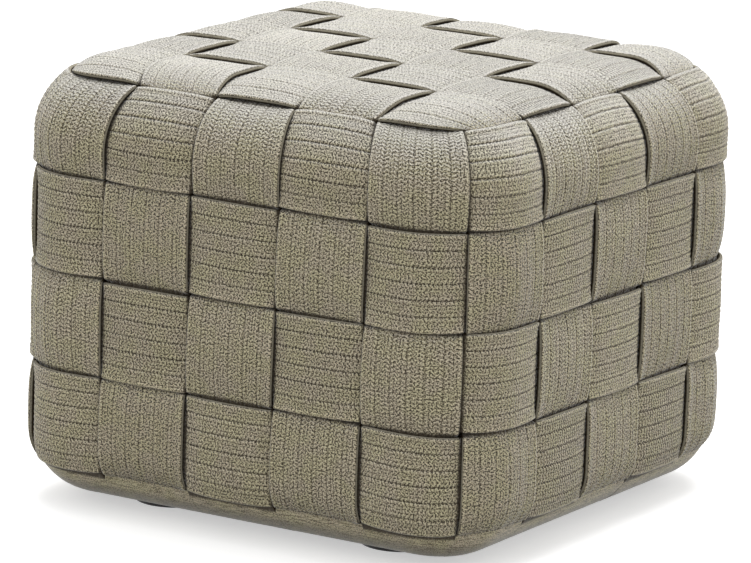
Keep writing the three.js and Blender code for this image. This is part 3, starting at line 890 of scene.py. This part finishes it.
def strand_rows(total, fine, pitch):
    """Rows along a band: four to a strand where the band shows, one to two strands elsewhere."""
    count = round(total / pitch)
    pitch = total / count
    places, humps = [], []
    for n in range(count):
        if fine((n + 0.5) * pitch):
            for k in range(STRAND_STEPS):
                places.append((n + k / STRAND_STEPS) * pitch)
                humps.append(STRAND_HEIGHTS[k])
        elif n % 2 == 0:
            places.append(n * pitch)
            humps.append(0.0)
    return np.array(places + [total]), np.array(humps + [humps[0]]), pitch


def braided_band(kind, index, weave, seed):
    """One band of the weave, a closed tube of braided cords."""
    way = BandRun(kind, index)
    rng = np.random.default_rng(seed)
    nominal = np.linspace(0, way.length, RUN_SAMPLES)
    middle, outwards = way.place(nominal, 0 * nominal)
    face = middle + outwards * FACE_LEVEL
    reach = np.concatenate([[0], np.cumsum(np.linalg.norm(np.diff(face, axis=0), axis=1))])
    total = reach[-1]

    def fine(length):
        run = np.interp(length, reach, nominal)
        for step in (-FINE_MARGIN, 0.0, FINE_MARGIN):
            near = run + step
            if way.ring:
                near = near % way.length
            past = float(way.tail(near))
            if -MM < past < FINE_MARGIN:
                return True
            if past <= 0 and way.over(np.floor(way.cell_place(near))) > 0:
                return True
        return False

    rows, humps, pitch = strand_rows(total, fine, weave.strand_pitch)
    across, height, cord, leg, relief, shown = band_section(weave)
    phases = rng.uniform(0, 1, weave.cord_count) * pitch
    slope = math.tan(weave.strand_angle)
    shift = -slope * leg - phases[cord]
    for k in range(1, weave.cord_count):
        line = np.argmax(cord[:shown] == k)
        shift[line] = -slope * leg[line] - (phases[k] + phases[k - 1]) / 2
    shift -= shift[:shown].mean()
    fade = np.ones_like(rows)
    if not way.ring:
        fade = rise(np.minimum(rows, total - rows), 0, END_FADE)
    length = rows[:, None] + fade[:, None] * shift[None, :]
    wrapped = length % total if way.ring else np.clip(length, 0, total)
    run = np.interp(wrapped, reach, nominal)

    cell = way.cell_place(run)
    along = 2 * (cell - np.floor(cell)) - 1
    over = way.over(np.floor(cell))
    wave = np.zeros_like(run)
    for order in range(1, DRIFT_WAVES + 1):
        turn = 2 * math.pi * order * (3 if way.ring else 2)
        push = rng.normal() / order
        wave += push * np.sin(turn * wrapped / total + rng.uniform(0, DRIFT_START))
    tail = way.tail(run)
    half = weave.cord_width * weave.cord_count / 2
    spread = np.where(over > 0, SQUARE_SPREAD * (1 - along**2), 0)
    spread = 1 + spread + rise(tail, 0, HEM_RUN) * HEM_SPREAD
    held = rise(-tail, 0, HELD_RUN)
    lay = across[None, :] * SHARE * spread + held * wave * weave.drift / half
    surface, out = way.place(run, lay)
    lift = way.offset(run, np.clip(lay, -SHARE, SHARE), weave.pillow)
    uneven = rng.normal(0, UNEVEN_HEIGHT, UNEVEN_PLACES)
    uneven = np.interp(rows, np.linspace(0, total, UNEVEN_PLACES), uneven)
    hem = rise(tail, HEM_START, HEM_RUN)
    strand = humps[:, None] * relief[None, :] * weave.strand_relief * (1 - hem)
    level = np.where(np.arange(len(height)) < shown, weave.thickness / 2, height)
    section = height + (level - height) * rise(tail, 0, FLATTEN_RUN)
    ripple = strand + uneven[:, None] * fade[:, None]
    lift = lift + section + np.where(height[None, :] > 0, ripple, 0)
    points = surface + out * lift[..., None]

    # Painted shade: full where the band lies under, near a square's ends where it dives under its
    # neighbour, as a shadow under an overlying ring's edge on the tail, on the hem's underside, and
    # down the side walls
    under_shade = np.where(over < 0, 1.0, rise(np.abs(along), DIVE_START, DIVE_RUN))
    past = rise(tail, SHADOW_FADE_START, SHADOW_FADE_RUN)
    low = UNDERSIDE_SHADE * rise(tail, UNDERSIDE_START, UNDERSIDE_RUN)
    last = way.over(np.where(cell < 0, 0, way.cells - 1)) < 0
    dive_shade = np.where(tail < 0, under_shade, np.where(last, np.maximum(1 - past, low), low))
    wall_shade = np.interp(height, np.multiply(WALL_LEVELS, MM), WALL_SHADES)
    painted_crease_shade = np.maximum(dive_shade, wall_shade[None, :] * (tail < 0))
    bound = rise(np.abs(across) * half - half, -BOUND_WIDTH, BOUND_RUN)
    bound = bound * np.where(way.ring & (across > 0), RING_TOP_BOUND, OTHER_BOUND)
    plain = np.maximum(hem, bound[None, :])
    if way.ring:
        points[-1], painted_crease_shade[-1], plain[-1] = points[0], painted_crease_shade[0], plain[0]
    points, painted_crease_shade, plain = (
        np.concatenate([part, part[:, :1]], axis=1) for part in (points, painted_crease_shade, plain)
    )

    around = np.append(across, across[0])
    steps = np.hypot(np.diff(around) * half, GIRTH_STEP)
    girth = np.concatenate([[0], np.cumsum(steps)])
    girth[shown:] = girth[shown - 1] + (girth[shown:] - girth[shown - 1]) * BACK_SHARE
    inward = np.clip(around, -FACE_END, FACE_END)
    flat = np.where(np.arange(len(around)) >= shown, inward, around)
    cords = np.append(cord, 0)
    own = seed * YARN_OFFSET

    def lay_map(row, column, face_row, face_column):
        k = cords[np.minimum(face_column, len(cords) - 2)]
        u = (flat[column] + 1) * half
        v = rows[row] + fade[row] * np.append(shift, shift[0])[column] + phases[k] + own
        return np.stack([u, v], -1)

    cuts = np.searchsorted(rows, np.arange(1, STRIPS) * total / STRIPS)
    size = max(STRIPS * (girth[-1] + STRIP_GAP), total / STRIPS + STRIP_SPARE)

    def bake_map(row, column, face_row, face_column):
        strip = np.searchsorted(cuts, face_row, side="right")
        start = np.concatenate([[0], rows[cuts]])[strip]
        u = strip * (girth[-1] + STRIP_GAP) + girth[column] + MM
        return np.stack([u, rows[row] - start + MM], -1) / size

    name = f"braided_{kind}_band_{index + 1}"
    maps = {"Lay": lay_map, "OFBake": bake_map}
    marks = {"painted_crease_shade": painted_crease_shade, "plain": plain}
    walls = (1, shown - 3)
    return folded_grid(name, points, not way.ring, maps, marks, walls)


BLOCK_CUTS = 31
BLOCK_EDGE = 1 - 1e-4  # corners of the cube past this lie on its faces


def wrapped_block(name, depth, low, open_below):
    """A cube drawn to a skin that lies depth inside the weave and ends at the height low."""
    deselect()
    bpy.ops.mesh.primitive_cube_add(size=2)
    piece = bpy.context.object
    mesh = piece.data
    piece.name = mesh.name = name
    start_edit()
    bpy.ops.mesh.subdivide(number_cuts=BLOCK_CUTS)
    if open_below:
        bpy.ops.mesh.select_all(action="DESELECT")
        end_edit()
        for face in mesh.polygons:
            face.select = face.normal.z < -0.9
        bpy.ops.object.mode_set(mode="EDIT")
        bpy.ops.mesh.delete(type="ONLY_FACE")
    end_edit()
    co = np.zeros(len(mesh.vertices) * 3, np.float32)
    mesh.vertices.foreach_get("co", co)
    x, y, z = co.reshape(-1, 3).astype(float).T
    end_tilt = math.asin((BOTTOM_CENTRE - low) / (BOTTOM_RADIUS - depth))
    end = SIDE_END + BOTTOM_RADIUS * end_tilt
    s, t = (x + 1) / 2 * COLUMNS, (y + 1) / 2 * COLUMNS
    which = [y < -BLOCK_EDGE, x > BLOCK_EDGE, y > BLOCK_EDGE]
    column = np.select(which, [s, RIGHT_START + t, LEFT_START - s], RING_CELLS - t)
    side, side_out = side_place(column % RING_CELLS, (1 - z) / 2 * end)
    top, top_out = top_place(s, t)
    on_top = (z > BLOCK_EDGE)[:, None]
    points = np.where(on_top, top - top_out * depth, side - side_out * depth)
    below = (z < -BLOCK_EDGE) & (np.abs(x) < BLOCK_EDGE) & (np.abs(y) < BLOCK_EDGE)
    inset = BOTTOM_RADIUS - (BOTTOM_RADIUS - depth) * math.cos(end_tilt)
    flat = patch_place(s, t, inset, False)
    points[below] = np.concatenate([flat, np.full((len(flat), 1), low)], 1)[below]
    fill(mesh.vertices, "co", points)
    join_up(BLOCK_MERGE_DISTANCE)
    return piece


def apply_modifier(piece, kind, **settings):
    activate(piece)
    modifier = piece.modifiers.new(kind.title(), kind)
    for key, value in settings.items():
        setattr(modifier, key, value)
    bpy.ops.object.modifier_apply(modifier=modifier.name)


class FOOTSTOOL_OT_bands(bpy.types.Operator):
    """Make the braided bands of the weave"""

    bl_idname = "footstool.bands"
    bl_label = "Braided Bands"

    def execute(self, context):
        weave = context.scene.footstool_weave
        finish = context.scene.footstool_finishes
        edge = edge_material(finish)
        # The two braid materials differ only in how deep the painted shade in the lines between the
        # cords is
        upright = (braid_material("upright_cords", weave, finish, finish.upright_line_shade), edge)
        ring = (braid_material("ring_cords", weave, finish, finish.ring_line_shade), edge)
        seed = 1
        for kind, count in (("lengthwise", COLUMNS), ("crosswise", COLUMNS), ("ring", ROWS)):
            looks = ring if kind == "ring" else upright
            for index in range(count):
                band = braided_band(kind, index, weave, seed)
                dress(band, looks, "woven_band", f"{kind}_band_{index + 1}")
                seed += 1
        return {"FINISHED"}


LINER_GAP = 0.5 * MM  # between the bands' backs and the liner
FOAM_GAP = 2 * MM  # between the outsides of the liner and of the foam
LINER_THICKNESS = 1.5 * MM


class FOOTSTOOL_OT_core(bpy.types.Operator):
    """Make the foam block and the cloth bag round it"""

    bl_idname = "footstool.core"
    bl_label = "Foam and Liner"

    def execute(self, context):
        finish = context.scene.footstool_finishes
        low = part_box("foam_core")[0].z
        liner_depth = WEAVE_REACH + LINER_GAP
        foam = wrapped_block("foam_block", liner_depth + FOAM_GAP, low, False)
        dress(foam, [foam_material(rgb(finish.foam))], "foam", "foam_core")
        liner = wrapped_block("liner_bag", liner_depth, low, True)
        apply_modifier(
            liner, "SOLIDIFY", thickness=LINER_THICKNESS, offset=-1.0, use_even_offset=False
        )
        # The liner's dark colour is painted shade for the gaps between the bands
        cloth = cloth_material("liner_cloth", rgb(finish.liner), 1.6 * MM, 0.2 * MM)
        dress(liner, [cloth], "liner_cloth", "liner")
        return {"FINISHED"}


CLOTH_MARGIN = 10 * MM  # the base cloth reaches this far past the ends of the bands
CLOTH_PLACES = 61
SAG = 0.12 * MM
SAG_WAVES = (95, 83)  # radians to a metre, to the right and to the back


class FOOTSTOOL_OT_base(bpy.types.Operator):
    """Finish the base board and make the cloth under it"""

    bl_idname = "footstool.base"
    bl_label = "Board and Base Cloth"

    def execute(self, context):
        finish = context.scene.footstool_finishes
        redress("base_board", board_material(rgb(finish.board)))
        low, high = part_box("base_cloth")
        inset = BOTTOM_RADIUS + TUCK - CLOTH_MARGIN
        steps = np.linspace(0, COLUMNS, CLOTH_PLACES)
        s, t = np.meshgrid(steps, steps)
        place = patch_place(s, t, inset, False)
        sag = SAG * np.sin(place[..., 0] * SAG_WAVES[0]) * np.sin(place[..., 1] * SAG_WAVES[1] + 1)
        rim = np.minimum(np.minimum(s, COLUMNS - s), np.minimum(t, COLUMNS - t))
        sag = sag * np.clip(rim * 2, 0, 1)
        points = np.concatenate([place, (high.z + sag)[..., None]], -1)
        cloth = folded_grid("base_cloth_sheet", points)
        activate(cloth)
        if cloth.data.polygons[0].normal.z < 0:
            start_edit()
            bpy.ops.mesh.flip_normals()
            end_edit()
        apply_modifier(cloth, "SOLIDIFY", thickness=high.z - low.z, offset=-1.0)
        look = cloth_material("dust_cloth", rgb(finish.base_cloth), 1.1 * MM, 0.15 * MM)
        dress(cloth, [look], "base_cloth", "base_cloth")
        return {"FINISHED"}


TURN_STEPS = 72
SCREW_HOLE = 2.5 * MM
RECESS = 5.3 * MM
RECESS_TOP = 2.6 * MM


def turned_form(name, profile, middle):
    """A turned form: the profile's radii and heights, once round an upright axis."""
    angle = np.linspace(0, 2 * math.pi, TURN_STEPS + 1)
    radius, height = np.array(profile).T[:, :, None]
    x = middle.x + radius * np.cos(angle)
    y = middle.y + radius * np.sin(angle)
    points = np.stack([x, y, height + 0 * angle], -1)
    points[:, -1] = points[:, 0]
    return folded_grid(name, points, True)


class FOOTSTOOL_OT_glides(bpy.types.Operator):
    """Make the four moulded glides and give their screws a zinc finish"""

    bl_idname = "footstool.glides"
    bl_label = "Glides and Screws"

    def execute(self, context):
        finish = context.scene.footstool_finishes
        plastic = glide_material(rgb(finish.glide))
        zinc = screw_material(rgb(finish.screw))
        for corner in ("front_left", "front_right", "back_left", "back_right"):
            low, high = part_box(f"glide_{corner}")
            middle = (low + high) / 2
            reach = (high.x - low.x) / 2
            top = high.z
            profile = [
                (SCREW_HOLE, top), (SCREW_HOLE, RECESS_TOP),
                (RECESS, RECESS_TOP), (RECESS, 0.5 * MM),
                (5.6 * MM, 0.15 * MM), (6.2 * MM, 0.0), (reach - 2.2 * MM, 0.0),
                (reach - 1.0 * MM, 0.3 * MM), (reach - 0.3 * MM, 1.0 * MM), (reach, 1.8 * MM),
                (reach, top - 0.6 * MM), (reach - 0.6 * MM, top), (SCREW_HOLE, top),
            ]
            glide = turned_form(f"moulded_glide_{corner}", profile, middle)
            bpy.ops.object.shade_smooth_by_angle(angle=math.radians(35))
            dress(glide, [plastic], "glide", f"glide_{corner}")
            redress(f"glide_screw_{corner}", zinc)
        return {"FINISHED"}


def light_path_mix(tree, seen, other):
    """Shader that camera, glossy and transmission rays see as one and all others as the other."""
    kinds = ("LightPath", "Math", "Math", "MixShader")
    path, first, second, mixed = (tree.nodes.new("ShaderNode" + kind) for kind in kinds)
    first.operation = second.operation = "MAXIMUM"
    for source, target in (
        (path.outputs["Is Camera Ray"], first.inputs[0]),
        (path.outputs["Is Glossy Ray"], first.inputs[1]),
        (first.outputs[0], second.inputs[0]),
        (path.outputs["Is Transmission Ray"], second.inputs[1]),
        (second.outputs[0], mixed.inputs[0]),
        (other, mixed.inputs[1]),
        (seen, mixed.inputs[2]),
    ):
        tree.links.new(source, target)
    return mixed.outputs[0]


FLOOR_SIZE = 60
LAMP_SIZE = 2.4
LAMP_PLACE = Vector((-0.3, 0.8, 2.65))
LAMP_AIM = Vector((0, 0, 0.2))
PHOTO_WIDTH, PHOTO_HEIGHT = 751, 563
SENSOR_WIDTH = 36
VIEW_END = 100


class FOOTSTOOL_OT_stage(bpy.types.Operator):
    """Set up the floor, the light and the camera"""

    bl_idname = "footstool.stage"
    bl_label = "Floor, Light and Camera"

    def execute(self, context):
        stage = context.scene.footstool_stage
        context.scene.view_settings.view_transform = "Standard"
        self.floor(stage)
        self.world(context.scene, stage)
        self.lamps(stage)
        self.camera(context.scene, stage)
        return {"FINISHED"}

    def floor(self, stage):
        deselect()
        bpy.ops.mesh.primitive_plane_add(size=FLOOR_SIZE)
        floor = bpy.context.object
        floor.name = "floor"
        material = bpy.data.materials.new("pale_floor")
        material.use_nodes = True
        tree = material.node_tree
        tree.nodes.remove(tree.nodes["Principled BSDF"])
        shaders = []
        for colour in (stage.backdrop, stage.floor):
            node = tree.nodes.new("ShaderNodeBsdfDiffuse")
            node.inputs["Color"].default_value = opaque(colour)
            shaders.append(node.outputs[0])
        glow = tree.nodes.new("ShaderNodeEmission")
        glow.inputs["Strength"].default_value = stage.backdrop_glow
        both = tree.nodes.new("ShaderNodeAddShader")
        tree.links.new(shaders[0], both.inputs[0])
        tree.links.new(glow.outputs[0], both.inputs[1])
        shaders[0] = both.outputs[0]
        output = tree.nodes["Material Output"]
        tree.links.new(light_path_mix(tree, *shaders), output.inputs["Surface"])
        floor.data.materials.append(material)

    def world(self, scene, stage):
        scene.world = scene.world or bpy.data.worlds.new("Studio")
        scene.world.use_nodes = True
        tree = scene.world.node_tree
        tree.nodes.clear()
        shaders = []
        for strength in (1.0, stage.ambient):
            node = tree.nodes.new("ShaderNodeBackground")
            node.inputs["Color"].default_value = (1, 1, 1, 1)
            node.inputs["Strength"].default_value = strength
            shaders.append(node.outputs[0])
        output = tree.nodes.new("ShaderNodeOutputWorld")
        tree.links.new(light_path_mix(tree, *shaders), output.inputs["Surface"])

    def lamps(self, stage):
        lamp = bpy.data.lights.new("overhead", "AREA")
        lamp.shape = "RECTANGLE"
        lamp.size = lamp.size_y = LAMP_SIZE
        lamp.energy = stage.overhead
        holder = bpy.data.objects.new("overhead", lamp)
        holder.location = LAMP_PLACE
        aim = LAMP_AIM - holder.location
        holder.rotation_euler = aim.to_track_quat("-Z", "Y").to_euler()
        bpy.context.scene.collection.objects.link(holder)

    def camera(self, scene, stage):
        yaw, pitch, roll = stage.camera_yaw, stage.camera_pitch, stage.camera_roll
        level = math.cos(pitch)
        ahead = Vector((math.cos(yaw) * level, math.sin(yaw) * level, math.sin(pitch)))
        right = Vector((math.sin(yaw), -math.cos(yaw), 0))
        above = right.cross(ahead)
        across = right * math.cos(roll) + above * math.sin(roll)
        up = above * math.cos(roll) - right * math.sin(roll)
        data = bpy.data.cameras.new("camera")
        data.sensor_width = SENSOR_WIDTH
        data.sensor_fit = "HORIZONTAL"
        data.lens = stage.camera_lens / PHOTO_WIDTH * SENSOR_WIDTH
        data.shift_x = (PHOTO_WIDTH / 2 - stage.camera_middle[0]) / PHOTO_WIDTH
        data.shift_y = (stage.camera_middle[1] - PHOTO_HEIGHT / 2) / PHOTO_WIDTH
        data.clip_end = VIEW_END
        camera = bpy.data.objects.new("camera", data)
        turn = Matrix((across, up, -ahead)).transposed().to_4x4()
        camera.matrix_world = Matrix.Translation(Vector(stage.camera_place)) @ turn
        scene.collection.objects.link(camera)
        scene.camera = camera


class FOOTSTOOL_PT_panel(bpy.types.Panel):
    """Steps and settings of the footstool"""

    bl_idname = "FOOTSTOOL_PT_panel"
    bl_label = "Woven Footstool"
    bl_space_type = "VIEW_3D"
    bl_region_type = "UI"
    bl_category = "Footstool"

    def draw(self, context):
        layout = self.layout
        for group in GROUPS:
            settings = getattr(context.scene, group)
            box = layout.box()
            for key in settings.__annotations__:
                box.prop(settings, key)
        for step in STEPS:
            layout.operator(step.bl_idname)


STEPS = (
    FOOTSTOOL_OT_bands,
    FOOTSTOOL_OT_core,
    FOOTSTOOL_OT_base,
    FOOTSTOOL_OT_glides,
    FOOTSTOOL_OT_stage,
)
GROUPS = {
    "footstool_weave": WeaveSizes,
    "footstool_finishes": Finishes,
    "footstool_stage": StageSettings,
}
CLASSES = (*GROUPS.values(), *STEPS, FOOTSTOOL_PT_panel)


def register():
    for each in CLASSES:
        bpy.utils.register_class(each)
    for name, group in GROUPS.items():
        setattr(bpy.types.Scene, name, bpy.props.PointerProperty(type=group))


def unregister():
    for name in GROUPS:
        delattr(bpy.types.Scene, name)
    for each in reversed(CLASSES):
        bpy.utils.unregister_class(each)


def main():
    register()
    bpy.ops.footstool.bands()
    bpy.ops.footstool.core()
    bpy.ops.footstool.base()
    bpy.ops.footstool.glides()
    bpy.ops.footstool.stage()


if __name__ == "__main__":
    main()
